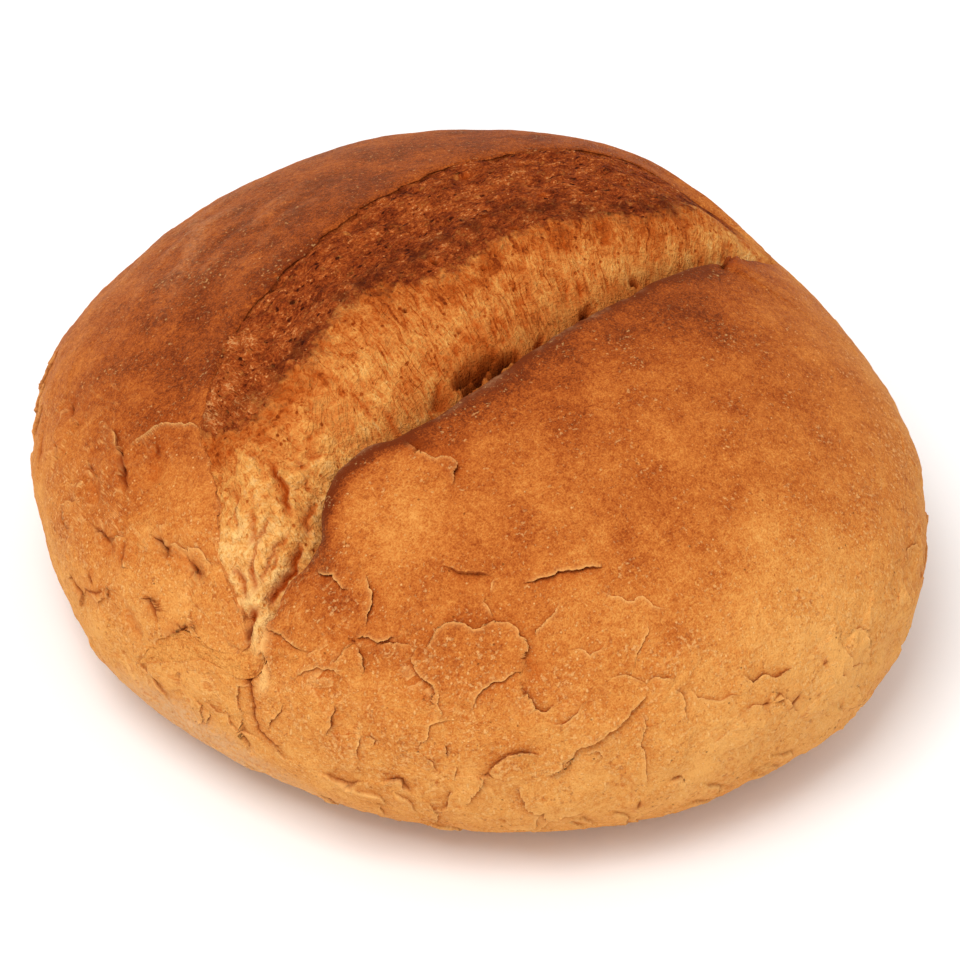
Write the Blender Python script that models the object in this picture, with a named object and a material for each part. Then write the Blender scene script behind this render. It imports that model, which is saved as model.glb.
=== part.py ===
"""Country loaf: one uncut round loaf whose slash has burst open along the top.

The loaf is one closed solid. Lengths are in metres. The origin is on the flat
base under the middle of the loaf, +X runs along the slash, +Y across it towards
the side where the burst stands highest, and +Z is up.
"""

import math

import bmesh
import bpy
import numpy as np
from mathutils import Vector, noise
from mathutils.geometry import intersect_point_line

MM = 0.001

# Smooth loaf, before the burst and the crust's relief.
HALF_LENGTH = 125.5 * MM  # along the slash
HALF_WIDTH = 136.2 * MM  # across the slash
DOME_HEIGHT = 108.0 * MM
BELLY_HEIGHT = 41.0 * MM  # where the loaf is widest
BASE_SHARE = 0.60  # radius of the flat base over that of the belly
DOME_FULLNESS = 0.92  # 1 is an ellipse, less is boxier
SIDE_FULLNESS = 0.80
# The outline in plan is not quite an ellipse: (waves around it, depth, peak angle in degrees).
OUTLINE_WAVES = ((3, 0.023, 38.5), (4, 0.0085, 34.0))

# Lines along the burst as (x, y) stations in mm, from the left end to the right end.
NEAR_LINE = (
    (-118, -43), (-100, -39), (-88, -36), (-77, -26), (-50, -25),
    (25, -27), (75, -22), (104, -20), (119, -12),
)
RIDGE_LINE = (
    (-118, -42), (-109, -30), (-98, -16), (-82, 6), (-50, 12),
    (-20, 20), (20, 20), (58, 6), (100, -4), (119, -11),
)
FAR_LINE = (
    (-118, -41), (-109, -23), (-97, -4), (-84, 18), (-58, 36),
    (-20, 49), (27, 53), (82, 41), (105, 21), (119, -10),
)
# How much of the profile below shows at each x in mm: it fades out down both ends.
BURST_STRENGTH = (
    (-118, 0.0), (-110, 0.3), (-95, 0.7), (-70, 0.9), (-20, 1.0), (60, 1.0), (95, 0.6), (119, 0.0),
)
# How far in mm the torn dough sinks as the burst narrows at its ends, the far crust with it.
TORN_SINK = (
    (-118, 0.0), (-110, 2.4), (-98, 2.0), (-75, 0.0), (65, 0.0), (88, 1.5), (104, 3.2), (119, 0.0),
)
# Profile across the burst, row by row: the row's place, where 0 is the near line, 1 the ridge and
# 2 the far line, and its lift over the smooth loaf in mm.
BURST_PROFILE = (
    # The near crust rolls over into its lip, which overhangs the groove behind it.
    (-0.55, 0.0), (-0.36, -0.4), (-0.20, -1.0), (-0.08, -1.9), (0.00, -3.0), (0.06, -5.0),
    (0.06, -7.6), (0.03, -9.8), (0.09, -10.4),
    # The torn face swells up to the ridge.
    (0.20, -7.4), (0.33, -3.4), (0.48, 0.2), (0.64, 2.9), (0.82, 4.6), (1.00, 5.2),
    # The dark band falls gently to the step of the far crust.
    (1.22, 4.1), (1.46, 3.1), (1.70, 2.4), (1.88, 1.3), (1.97, 0.3), (2.04, 1.3), (2.25, 0.9), (2.60, 0.0),
)
TORN_PLACES = (0.1, 1.95)  # the torn dough lies between these places across the burst
SINK_FADE = 0.65  # beyond the torn dough, the place across by which its sinking has faded out

# Broad swells and hollows of the loaf: (middle, radius, lift) in mm.
SWELLS = (
    ((110, -38, 66), 40, -2.8),
    ((112, 4, 72), 26, -1.2),
    ((103, 50, 79), 30, 2.2),
    ((-117, 55, 28), 34, -1.8),
    ((-111, -25, 16), 36, -1.4),
    ((0, -128, 15), 36, -1.6),
    ((-30, 125, 70), 45, -1.2),
)

# Edges where the crust has flaked, as (name, step in mm, fade in mm, points in mm). Following the
# points with the outside of the loaf in view, the raised side is on the right.
FLAKE_EDGES = (
    ("sheet over the lip", 1.6, 24.0, ((-48, -24, 101), (-46, -42, 101), (-53, -48, 98), (-60, -56, 94))),
    ("upper plate", 1.3, 14.0, ((-84, -72, 76), (-74, -73, 81), (-64, -84, 81), (-67, -94, 72))),
    ("upper plate's left side", 1.1, 10.0, ((-88, -82, 62), (-86, -77, 69), (-85, -71, 75))),
    ("step under the shoulder", 1.0, 12.0, ((-34, -90, 88), (-49, -83, 88), (-61, -73, 88))),
    ("lower plate", 1.2, 12.0, ((-62, -104, 65), (-69, -101, 63), (-67, -95, 71))),
    ("long crease", 1.4, 13.0, ((-41, -115, 67), (-57, -113, 56), (-68, -109, 44))),
    ("hollow above the base", 1.3, 10.0, ((-66, -108, 51), (-82, -96, 50), (-86, -93, 40))),
    ("edge at the base", 1.2, 9.0, ((-54, -112, 19), (-71, -105, 31), (-76, -102, 40))),
    ("plates by the crack", 1.1, 14.0, ((-106, -36, 70), (-97, -57, 73), (-87, -66, 76))),
)
RAISED_SHARE = 0.65  # of a step, the share that its raised side stands up
SUNK_SHARE = 0.35  # and the share that its other side sinks
# The burst runs out down the left end in a crack: its points and its size in mm.
END_CRACK = ((-108, -29, 75), (-112, -35, 66), (-116, -38, 54), (-117, -40, 46), (-113, -50, 38))
END_CRACK_DEPTH = 2.2
END_CRACK_WIDTH = 2.6

# Relief of the crust and of the torn dough.
CRUST_LUMP = 1.0 * MM
CRUST_LUMP_SIZE = 45.0 * MM
TORN_LUMP = 1.3 * MM
TORN_LUMP_SIZE = 13.0 * MM

# Mesh: sections across the loaf, and points round each section outside the burst.
SECTIONS = 62
NEAR_CRUST_ROWS = 27
FAR_CRUST_ROWS = 15
UNDERSIDE_ROWS = 27
RING_SHARE = 0.97  # the burst stays within this share of a section's half width
RIDGE_ROW = 14  # of the profile's rows
# Past this share of the half length the burst's rows start to spread round the small end sections,
# and at the next share they are evenly spread, with the ridge no nearer the belly than an angle.
SPREAD_FROM, SPREAD_FULL = 0.90, 0.975
SPREAD_STEP = math.radians(2.0)
SPREAD_CLEARANCE = math.radians(63.0)

CRUST_COLOUR = (0.52, 0.22, 0.065)
CRUST_ROUGHNESS = 0.62


def through(stations, x):
    """Value at x, in metres, of the smooth curve through (x in mm, value) stations, without overshoot."""
    xs, ys = np.array(stations, float).T
    steps = np.diff(ys) / np.diff(xs)
    slopes = np.zeros(len(xs))
    goes_on = steps[:-1] * steps[1:] > 0.0
    slopes[1:-1][goes_on] = 2.0 / (1.0 / steps[:-1][goes_on] + 1.0 / steps[1:][goes_on])
    x = float(np.clip(x / MM, xs[0], xs[-1]))
    i = min(int(np.searchsorted(xs, x, side="right")) - 1, len(xs) - 2)
    width = xs[i + 1] - xs[i]
    t = (x - xs[i]) / width
    start = (1 + 2 * t) * (1 - t) ** 2 * ys[i] + t * (1 - t) ** 2 * width * slopes[i]
    end = t * t * (3 - 2 * t) * ys[i + 1] + t * t * (t - 1) * width * slopes[i + 1]
    return start + end


def outline_factor(angle):
    """How far the outline in plan stands out from the ellipse at an angle round the loaf."""
    factor = 1.0
    for count, depth, peak in OUTLINE_WAVES:
        factor += depth * math.cos(count * (angle - math.radians(peak)))
    return factor


def top_height(share):
    """Height of the dome at a share of the outline's radius."""
    rise = max(0.0, 1.0 - share ** (2.0 / DOME_FULLNESS)) ** (DOME_FULLNESS / 2.0)
    return BELLY_HEIGHT + (DOME_HEIGHT - BELLY_HEIGHT) * rise


def underside_height(share):
    """Height of the underside: flat out to BASE_SHARE, then rounded up to the belly."""
    out = min(1.0, max(0.0, (share - BASE_SHARE) / (1.0 - BASE_SHARE)))
    fall = max(0.0, 1.0 - out ** (2.0 / SIDE_FULLNESS)) ** (SIDE_FULLNESS / 2.0)
    return BELLY_HEIGHT * (1.0 - fall)


def smooth_point(u, v, is_top):
    """Point of the smooth loaf at plan place (u, v) inside the unit circle."""
    share = min(1.0, math.hypot(u, v))
    factor = outline_factor(math.atan2(v, u))
    height = top_height(share) if is_top else underside_height(share)
    return Vector((u * HALF_LENGTH * factor, v * HALF_WIDTH * factor, height))


def outward(point):
    """Outward direction of the smooth loaf near a point, from its ellipsoid."""
    rise = DOME_HEIGHT - BELLY_HEIGHT if point.z > BELLY_HEIGHT else BELLY_HEIGHT
    return Vector((
        point.x / HALF_LENGTH**2,
        point.y / HALF_WIDTH**2,
        (point.z - BELLY_HEIGHT) / rise**2,
    )).normalized()


def burst_row_place(x, place):
    """The y in metres of a burst row: place 0 is the near line, 1 the ridge and 2 the far line."""
    near, ridge, far = (through(line, x) * MM for line in (NEAR_LINE, RIDGE_LINE, FAR_LINE))
    if place < 1.0:
        return near + place * (ridge - near)
    return ridge + (place - 1.0) * (far - ridge)


def lumps(point, depth, size):
    """Gentle unevenness with a given depth and spacing."""
    return depth * noise.noise(point / size)


def nearest_on(points, place):
    """Nearest place on a line of points in mm, with the direction of the line there."""
    best = None
    for start, end in zip(points, points[1:]):
        a, b = Vector(start) * MM, Vector(end) * MM
        share = intersect_point_line(place, a, b)[1]
        foot = a.lerp(b, min(1.0, max(0.0, share)))
        if best is None or (foot - place).length < (best[0] - place).length:
            best = (foot, (b - a).normalized())
    return best


def crust_relief(place):
    """Lift of the crust at a place on the smooth loaf: lumps, swells, flaked edges and the end crack."""
    lift = lumps(place, CRUST_LUMP, CRUST_LUMP_SIZE)
    for middle, radius, height in SWELLS:
        share = math.exp(-(((place - Vector(middle) * MM).length / (radius * MM)) ** 2))
        lift += height * MM * share
    up = outward(place)
    for _, step, fade, points in FLAKE_EDGES:
        foot, along = nearest_on(points, place)
        away = place - foot
        is_raised = along.cross(up).dot(away) > 0.0
        share = math.exp(-((away.length / (fade * MM)) ** 2))
        lift += step * MM * share * (RAISED_SHARE if is_raised else -SUNK_SHARE)
    away = place - nearest_on(END_CRACK, place)[0]
    lift -= END_CRACK_DEPTH * MM * math.exp(-((away.length / (END_CRACK_WIDTH * MM)) ** 2))
    return lift


def crust_point(u, v, is_top):
    """Point of the browned crust outside the burst."""
    point = smooth_point(u, v, is_top)
    if not is_top and math.hypot(u, v) <= BASE_SHARE:
        return point
    above_base = min(1.0, 2.0 * point.z / BELLY_HEIGHT)
    return point + outward(point) * above_base * crust_relief(point)


def burst_angles(u):
    """Angle round the section at plan place u of each burst row, from the near belly over the top."""
    half_width = HALF_WIDTH * math.sqrt(1.0 - u * u)
    angles = []
    for place, _ in BURST_PROFILE:
        across = burst_row_place(u * HALF_LENGTH, place) / half_width
        angles.append(math.acos(-min(RING_SHARE, max(-RING_SHARE, across))))
    spread = min(1.0, max(0.0, (abs(u) - SPREAD_FROM) / (SPREAD_FULL - SPREAD_FROM)))
    spread *= spread * (3.0 - 2.0 * spread)
    ridge = min(math.pi - SPREAD_CLEARANCE, max(SPREAD_CLEARANCE, angles[RIDGE_ROW]))
    even = [ridge + (row - RIDGE_ROW) * SPREAD_STEP for row in range(len(angles))]
    return [a + spread * (b - a) for a, b in zip(angles, even)]


def burst_point(u, v, place, lift):
    """Point at plan place (u, v) of the burst row that lies at the given place across the burst."""
    x = u * HALF_LENGTH
    point = smooth_point(u, v, True)
    strength = through(BURST_STRENGTH, x)
    relief = strength * lift * MM + crust_relief(point)
    start, end = TORN_PLACES
    if start < place < end:
        relief += strength * lumps(point, TORN_LUMP, TORN_LUMP_SIZE)
    if place > start:
        sink_share = min(1.0, 1.0 - (place - end) / SINK_FADE)
        relief -= sink_share * through(TORN_SINK, x) * MM
    return point + outward(point) * relief


def section(u):
    """Ring of points round the loaf at plan place u, from the near belly over the top."""
    half = math.sqrt(1.0 - u * u)
    burst = burst_angles(u)
    far_crust = math.pi - burst[-1]
    near = [burst[0] * i / NEAR_CRUST_ROWS for i in range(NEAR_CRUST_ROWS)]
    far = [burst[-1] + far_crust * (i + 1) / FAR_CRUST_ROWS for i in range(FAR_CRUST_ROWS)]
    under = [math.pi * (1.0 + (i + 1) / (UNDERSIDE_ROWS + 1)) for i in range(UNDERSIDE_ROWS)]
    ring = [crust_point(u, -half * math.cos(angle), True) for angle in near]
    for angle, (place, lift) in zip(burst, BURST_PROFILE):
        ring.append(burst_point(u, -half * math.cos(angle), place, lift))
    ring += [crust_point(u, -half * math.cos(angle), True) for angle in far]
    ring += [crust_point(u, -half * math.cos(angle), False) for angle in under]
    return ring


def loaf_mesh():
    """Closed skin of the loaf: sections from its left end to its right end, joined by quads."""
    bm = bmesh.new()
    places = [math.sin(math.pi * (i / SECTIONS - 0.5)) for i in range(1, SECTIONS)]
    rings = [[bm.verts.new(p) for p in section(u)] for u in places]
    left = bm.verts.new(smooth_point(-1.0, 0.0, True))
    right = bm.verts.new(smooth_point(1.0, 0.0, True))
    count = len(rings[0])
    for i in range(count):
        j = (i + 1) % count
        bm.faces.new((left, rings[0][i], rings[0][j]))
        bm.faces.new((right, rings[-1][j], rings[-1][i]))
        for a, b in zip(rings, rings[1:]):
            bm.faces.new((a[i], b[i], b[j], a[j]))
    bmesh.ops.triangulate(bm, faces=bm.faces)
    bmesh.ops.recalc_face_normals(bm, faces=bm.faces)
    return bm


def centre_in_plan(bm):
    """Move the loaf so that the middle of its bounding box stands over the origin."""
    for axis in (0, 1):
        values = [v.co[axis] for v in bm.verts]
        middle = (min(values) + max(values)) / 2.0
        for v in bm.verts:
            v.co[axis] -= middle


def crust_material():
    """Browned crust, as one plain colour."""
    material = bpy.data.materials.new("crust")
    material.use_nodes = True
    shader = material.node_tree.nodes["Principled BSDF"]
    shader.inputs["Base Color"].default_value = (*CRUST_COLOUR, 1.0)
    shader.inputs["Roughness"].default_value = CRUST_ROUGHNESS
    shader.inputs["Metallic"].default_value = 0.0
    return material


def main():
    for thing in list(bpy.data.objects):
        bpy.data.objects.remove(thing)
    bm = loaf_mesh()
    centre_in_plan(bm)
    mesh = bpy.data.meshes.new("loaf")
    bm.to_mesh(mesh)
    bm.free()
    mesh.shade_smooth()
    mesh.materials.append(crust_material())
    loaf = bpy.data.objects.new("loaf", mesh)
    bpy.context.scene.collection.objects.link(loaf)


main()
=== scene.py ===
"""Country loaf: the looks of one uncut round loaf whose slash has burst open along the top.

The crust and the torn dough are skins over the solid loaf of the frame, at its real size.
Forms are worked out in millimetres and laid into the frame's metres.
"""

import math
from functools import partial

import bmesh
import bpy
import numpy as np
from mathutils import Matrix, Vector, noise
from mathutils.bvhtree import BVHTree


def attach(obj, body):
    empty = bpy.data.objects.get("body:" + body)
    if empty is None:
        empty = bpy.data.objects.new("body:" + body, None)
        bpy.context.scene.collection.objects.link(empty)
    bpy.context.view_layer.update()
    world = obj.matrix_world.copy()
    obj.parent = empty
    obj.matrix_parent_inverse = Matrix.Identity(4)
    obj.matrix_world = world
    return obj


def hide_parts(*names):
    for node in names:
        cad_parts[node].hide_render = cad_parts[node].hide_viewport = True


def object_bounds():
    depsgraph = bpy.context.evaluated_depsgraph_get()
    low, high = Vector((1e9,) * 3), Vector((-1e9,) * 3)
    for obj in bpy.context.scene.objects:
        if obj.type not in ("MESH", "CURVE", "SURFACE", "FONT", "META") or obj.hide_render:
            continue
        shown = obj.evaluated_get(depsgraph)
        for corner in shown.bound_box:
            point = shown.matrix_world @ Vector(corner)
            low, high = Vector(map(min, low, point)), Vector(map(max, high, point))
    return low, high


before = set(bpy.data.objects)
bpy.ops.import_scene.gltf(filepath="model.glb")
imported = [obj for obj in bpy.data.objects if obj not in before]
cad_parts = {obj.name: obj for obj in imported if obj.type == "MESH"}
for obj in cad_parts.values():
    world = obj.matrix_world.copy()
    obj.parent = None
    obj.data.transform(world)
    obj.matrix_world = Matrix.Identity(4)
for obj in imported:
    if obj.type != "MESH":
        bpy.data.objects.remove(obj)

cad_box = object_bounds()
scene = bpy.context.scene

# ---- The photograph's view ----
# A long lens looks down on the loaf from its near left side, a good metre away. The loaf nearly
# fills the square picture.
MM = 0.001
PICTURE = 960.0  # pixels each way
VIEW_AZIMUTH = math.radians(-41.0)
VIEW_ELEVATION = math.radians(42.0)
VIEW_DISTANCE = 1.15
VIEW_WIDTH = 0.28  # of the plane that the camera aims at
VIEW_AIM = Vector((-0.0025, -0.0025, 0.0414))
SENSOR = 36.0
TRIES, NUDGE = 60, 0.01  # how often a pixel beside the loaf moves towards the middle, and how far

view_back = Vector((
    math.sin(VIEW_AZIMUTH) * math.cos(VIEW_ELEVATION),
    -math.cos(VIEW_AZIMUTH) * math.cos(VIEW_ELEVATION),
    math.sin(VIEW_ELEVATION),
))
camera = bpy.data.objects.new("camera", bpy.data.cameras.new("camera"))
camera.data.sensor_width = SENSOR
camera.data.lens = SENSOR * VIEW_DISTANCE / VIEW_WIDTH
camera.location = VIEW_AIM + view_back * VIEW_DISTANCE
camera.rotation_mode = "QUATERNION"
camera.rotation_quaternion = (-view_back).to_track_quat("-Z", "Y")
scene.collection.objects.link(camera)
scene.camera = camera
bpy.context.view_layer.update()

solid = BVHTree.FromObject(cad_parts["loaf"], bpy.context.evaluated_depsgraph_get())


def place_under(x, y):
    """Place in mm on the solid loaf under a pixel of the picture, or under the nearest on the loaf."""
    for _ in range(TRIES):
        aim = Vector(((x / PICTURE - 0.5) * SENSOR, (0.5 - y / PICTURE) * SENSOR, -camera.data.lens))
        place = solid.ray_cast(camera.location, camera.rotation_quaternion @ aim.normalized())[0]
        if place:
            return np.array(place) / MM
        x, y = x + (PICTURE / 2 - x) * NUDGE, y + (PICTURE / 2 - y) * NUDGE
    raise ValueError("no loaf near that pixel")


# ---- Floor and light ----
# A plain white studio floor. Light comes from all round, and more from a large soft box high on the
# left, so that shadows are faint except in the cracks.
FLOOR_COLOUR = (0.95, 0.95, 0.95, 1.0)
FLOOR_RADIUS, FLOOR_ROUGHNESS = 6.0, 0.8
ROOM_COLOUR, ROOM_LIGHT = (1.0, 0.995, 0.985, 1.0), 0.80
KEY_PLACE = Vector((-0.60, -0.20, 1.50))
KEY_SIZE = 0.8
KEY_POWER = 15.0

scene.view_settings.view_transform = "Standard"
room = bpy.data.worlds.new("room")
room.use_nodes = True
room.node_tree.nodes["Background"].inputs["Color"].default_value = ROOM_COLOUR
room.node_tree.nodes["Background"].inputs["Strength"].default_value = ROOM_LIGHT
scene.world = room

key = bpy.data.objects.new("key_light", bpy.data.lights.new("key_light", "AREA"))
key.data.size = KEY_SIZE
key.data.energy = KEY_POWER
key.location = KEY_PLACE
key.rotation_mode = "QUATERNION"
key.rotation_quaternion = (VIEW_AIM - KEY_PLACE).to_track_quat("-Z", "Y")
scene.collection.objects.link(key)

bm = bmesh.new()
bmesh.ops.create_circle(bm, cap_ends=True, segments=96, radius=FLOOR_RADIUS)
floor_mesh = bpy.data.meshes.new("floor")
bm.to_mesh(floor_mesh)
bm.free()
floor_paint = bpy.data.materials.new("floor_paint")
floor_paint.use_nodes = True
floor_paint.node_tree.nodes["Principled BSDF"].inputs["Base Color"].default_value = FLOOR_COLOUR
floor_paint.node_tree.nodes["Principled BSDF"].inputs["Roughness"].default_value = FLOOR_ROUGHNESS
floor_mesh.materials.append(floor_paint)
floor = bpy.data.objects.new("floor", floor_mesh)
scene.collection.objects.link(floor)

# ---- Near crust ----
# The browned skin of the dough on the near side of the slash, from the widest line of the loaf up
# to the lip that rolls over the burst. It baked hard and flaked where it was dusted with flour.
HALF_LENGTH, HALF_WIDTH = 125.5, 136.2  # along the slash and across it
DOME_HEIGHT, BELLY_HEIGHT = 108.0, 41.0
BASE_SHARE = 0.60
DOME_FULLNESS, SIDE_FULLNESS = 0.92, 0.80
OUTLINE_WAVES = ((3, 0.023, 38.5), (4, 0.0085, 34.0))  # (waves round it, depth, peak angle)
MIDDLE = np.array((1.24, 2.80, 0.0))  # where the middle of these forms stands in the frame
FIT = np.array((0.991, 0.991, 0.990))  # keeps the fine relief inside the solid's box
HEART = Vector((0.0, 0.0, 0.045))  # point inside the loaf where the walls of all pieces meet
WELD, SHARP = 2e-5, math.radians(65.0)  # distance at which points are joined, angle of a sharp edge

# The burst's near line, ridge and far line in plan: (x, y) stations in mm, from the left to the right.
NEAR_LINE = (
    (-118, -43), (-112, -40.7), (-106, -37.9), (-100, -35.4), (-94, -36.5), (-88, -35.2), (-82, -28.6),
    (-76, -24.9), (-70, -22.9), (-62, -22.7), (-52, -27.5), (-40, -29.6), (-25, -30.1), (-10, -29.2),
    (10, -26.4), (30, -26.3), (50, -24.3), (70, -22.4), (85, -21.9), (104, -20), (119, -12),
)
RIDGE_LINE = (
    (-118, -42), (-109, -30), (-98, -16), (-82, 2), (-50, 12),
    (-20, 19), (20, 18), (58, 6), (100, -4), (119, -11),
)
FAR_LINE = (
    (-118, -41), (-112, -28.5), (-106, -13), (-100, -5.3), (-94, 2.1), (-90, 9.7), (-86, 16.8), (-80, 22.2),
    (-72, 29), (-62, 35.4), (-40, 44.6), (-25, 49.4), (-10, 53.5), (10, 57), (30, 56.5), (50, 52), (65, 47),
    (82, 41), (105, 21), (119, -10),
)
# How much of the burst stands out along x, and how far its torn dough sinks.
BURST_STRENGTH = (
    (-118, 0.0), (-110, 0.3), (-95, 0.7), (-70, 0.9), (-20, 1.0), (60, 1.0), (95, 0.6), (119, 0.0),
)
TORN_SINK = (
    (-118, 0.0), (-110, 2.4), (-98, 2.0), (-75, 0.0), (65, 0.0), (88, 1.5), (104, 3.2), (119, 0.0),
)
# Profile across the burst: (place, which is 0 on the near line, 1 on the ridge and 2 on the far line;
# lift in mm). It rolls over the lip, turns in under it and comes out on the torn dough.
BURST_PROFILE = (
    (-0.55, 0.0), (-0.34, -0.2), (-0.17, -0.6), (-0.06, -1.1), (0.0, -1.9), (0.032, -3.4),
    (0.035, -5.6), (0.0, -8.6), (0.08, -10.6),
    (0.20, -7.4), (0.33, -3.4), (0.48, 0.2), (0.64, 2.9), (0.82, 4.6), (1.00, 5.2),
    (1.22, 4.1), (1.46, 3.1), (1.70, 2.4), (1.88, 1.7), (1.985, 0.8),
    (1.972, 1.2), (1.99, 1.6), (2.06, 1.7), (2.25, 1.0), (2.60, 0.0),
)
LIP_MIDDLE, LIP_END, RIDGE_ROW, FAR_EDGE = 5, 7, 14, 19  # stations of the profile
TORN_PLACES, SINK_FADE = (0.1, 1.95), 0.65  # places between which the ends sink, and the fade beyond
FAR_STRAY, LIP_STRAY = 2.2, 2.5  # stations over which the far edge's and the lip's straying fades
RAGGED_FROM = (84.0, 90.0)  # left of here the far edge is torn more raggedly
RING_SHARE = 0.97  # of a ring that the burst's rows may reach
# Shares of the length between which the rows spread out evenly round the small end rings.
SPREAD_FROM, SPREAD_FULL = 0.90, 0.975
SPREAD_STEP = math.radians(2.0)
SPREAD_CLEARANCE = math.radians(63.0)
# Broad swells and hollows of the loaf: (middle, radius, lift).
SWELLS = (
    ((110, -38, 66), 40, -2.8),
    ((112, 4, 72), 26, -1.2),
    ((103, 50, 79), 30, 2.2),
    ((-117, 55, 28), 34, -1.8),
    ((-111, -25, 16), 36, -1.4),
    ((0, -128, 15), 36, -1.6),
    ((-30, 125, 70), 45, -1.2),
)
COLUMNS = 600  # along the loaf, from end to end
FINE_ROWS = 800  # rows tried to space the rows of a piece evenly

columns = np.sin(np.pi * (np.arange(COLUMNS + 1) / COLUMNS - 0.5))
half_rings = np.sqrt(np.maximum(1.0 - columns**2, 0.0))


def through(stations, x):
    """Smooth curve through (x, value) stations, read at every x, without overshoot."""
    xs, ys = np.array(stations, float).T
    steps = np.diff(ys) / np.diff(xs)
    slopes = np.zeros(len(xs))
    goes_on = steps[:-1] * steps[1:] > 0.0
    slopes[1:-1][goes_on] = 2.0 / (1.0 / steps[:-1][goes_on] + 1.0 / steps[1:][goes_on])
    x = np.clip(x, xs[0], xs[-1])
    i = np.clip(np.searchsorted(xs, x, side="right") - 1, 0, len(xs) - 2)
    width = xs[i + 1] - xs[i]
    t = (x - xs[i]) / width
    start = (1 + 2 * t) * (1 - t) ** 2 * ys[i] + t * (1 - t) ** 2 * width * slopes[i]
    end = t * t * (3 - 2 * t) * ys[i + 1] + t * t * (t - 1) * width * slopes[i + 1]
    return start + end


def rise(x, start, end):
    """0 up to start, 1 past end, and smooth between."""
    t = np.clip((x - start) / (end - start), 0.0, 1.0)
    return t * t * (3.0 - 2.0 * t)


def lumps(points, size, seed=0.0):
    """Smooth unevenness from -1 to 1 with the given spacing, or one spacing for each axis."""
    flat = (points / size + seed).reshape(-1, 3).tolist()
    return np.array([noise.noise(p) for p in flat]).reshape(points.shape[:-1])


def profile(rows):
    """Place across the burst and lift at rows between the stations of the profile."""
    stations = range(len(BURST_PROFILE))
    places, lifts = zip(*BURST_PROFILE)
    return through(list(zip(stations, places)), rows), through(list(zip(stations, lifts)), rows)


def strays(size, amount, seed):
    """Uneven straying along the slash, with waves of a size and finer ones."""
    x = columns * HALF_LENGTH
    flat = [(step / size, seed, 0.0) for step in x.tolist()]
    coarse = np.array([noise.noise(p) for p in flat])
    fine = np.array([noise.noise((3.1 * a, b + 9.0, c)) for a, b, c in flat])
    return amount * (coarse + 0.5 * fine)


def bell(x, width, steepness=2):
    """1 where x is 0, and falling smoothly away beyond a width."""
    return np.exp(-((x / width) ** steepness))


def around(points, middle, radius):
    """1 at a middle, and falling smoothly away beyond a radius."""
    return np.exp(-(((points - middle) ** 2).sum(-1) / radius**2))


def across_burst(place, x):
    """y of places across the burst at x."""
    near, ridge, far = (through(line, x) for line in (NEAR_LINE, RIDGE_LINE, FAR_LINE))
    return np.where(place < 1.0, near + place * (ridge - near), ridge + (place - 1.0) * (far - ridge))


def burst_angles(rows):
    """Angle round each ring of rows across the burst. They spread out round the small end rings."""
    place = profile(rows)[0][:, None]
    x = columns * HALF_LENGTH
    torn = strays(9.0, 0.05, 3.0) + strays(2.6, 0.2, 5.0) * rise(-x, *RAGGED_FROM)
    place = place + torn * bell(rows[:, None] - FAR_EDGE, FAR_STRAY)
    place = place + strays(11.0, 0.018, 8.0) * bell(rows[:, None] - LIP_MIDDLE, LIP_STRAY)
    half_width = HALF_WIDTH * np.maximum(half_rings, 1e-6)
    angles, ridge_angle = (
        np.arccos(-np.clip(y / half_width, -RING_SHARE, RING_SHARE))
        for y in (across_burst(place, x), through(RIDGE_LINE, x))
    )
    ridge_angle = np.clip(ridge_angle, SPREAD_CLEARANCE, math.pi - SPREAD_CLEARANCE)
    even = ridge_angle + (rows[:, None] - RIDGE_ROW) * SPREAD_STEP
    spread = rise(np.abs(columns), SPREAD_FROM, SPREAD_FULL)
    return angles + spread * (even - angles)


def rounded(share, fullness):
    """Fall of a rounded quarter, from 1 at share 0 to 0 at share 1. It is its own inverse."""
    return (1.0 - share ** (2.0 / fullness)) ** (fullness / 2.0)


def smooth_loaf(u, v, is_top):
    """Points of the smooth loaf at plan places (u, v) in the unit circle, on its top or underside."""
    share = np.minimum(np.hypot(u, v), 1.0)
    angle = np.arctan2(v, u)
    stand = 1.0 + sum(d * np.cos(n * (angle - math.radians(peak))) for n, d, peak in OUTLINE_WAVES)
    dome = rounded(share, DOME_FULLNESS)
    out = np.clip((share - BASE_SHARE) / (1.0 - BASE_SHARE), 0.0, 1.0)
    side = BELLY_HEIGHT * (1.0 - rounded(out, SIDE_FULLNESS))
    z = BELLY_HEIGHT + (DOME_HEIGHT - BELLY_HEIGHT) * dome if is_top else side
    return np.stack((u * HALF_LENGTH * stand, v * HALF_WIDTH * stand, z), axis=-1)


def outward(points):
    """Outward directions of the smooth loaf near points."""
    above = points[..., 2] > BELLY_HEIGHT
    height = np.where(above, DOME_HEIGHT - BELLY_HEIGHT, BELLY_HEIGHT)
    radii = np.stack(np.broadcast_arrays(HALF_LENGTH, HALF_WIDTH, height), axis=-1)
    ups = (points - (0.0, 0.0, BELLY_HEIGHT)) / radii**2
    return ups / np.linalg.norm(ups, axis=-1, keepdims=True)


def rings(angles, is_top=True):
    """Points of the smooth loaf at rows of angles round its rings."""
    v = -half_rings * np.cos(angles)
    return smooth_loaf(np.broadcast_to(columns, v.shape), v, is_top)


def even_rows(start, end, count):
    """Rows between two stations of the profile, evenly spaced over the middle of the loaf."""
    fine = np.linspace(start, end, FINE_ROWS)
    place, lift = profile(fine)
    steps = np.hypot(np.diff(across_burst(place, 0.0)), np.diff(lift))
    length = np.concatenate(([0.0], np.cumsum(steps)))
    return np.interp(np.linspace(0.0, length[-1], count), length, fine)


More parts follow.
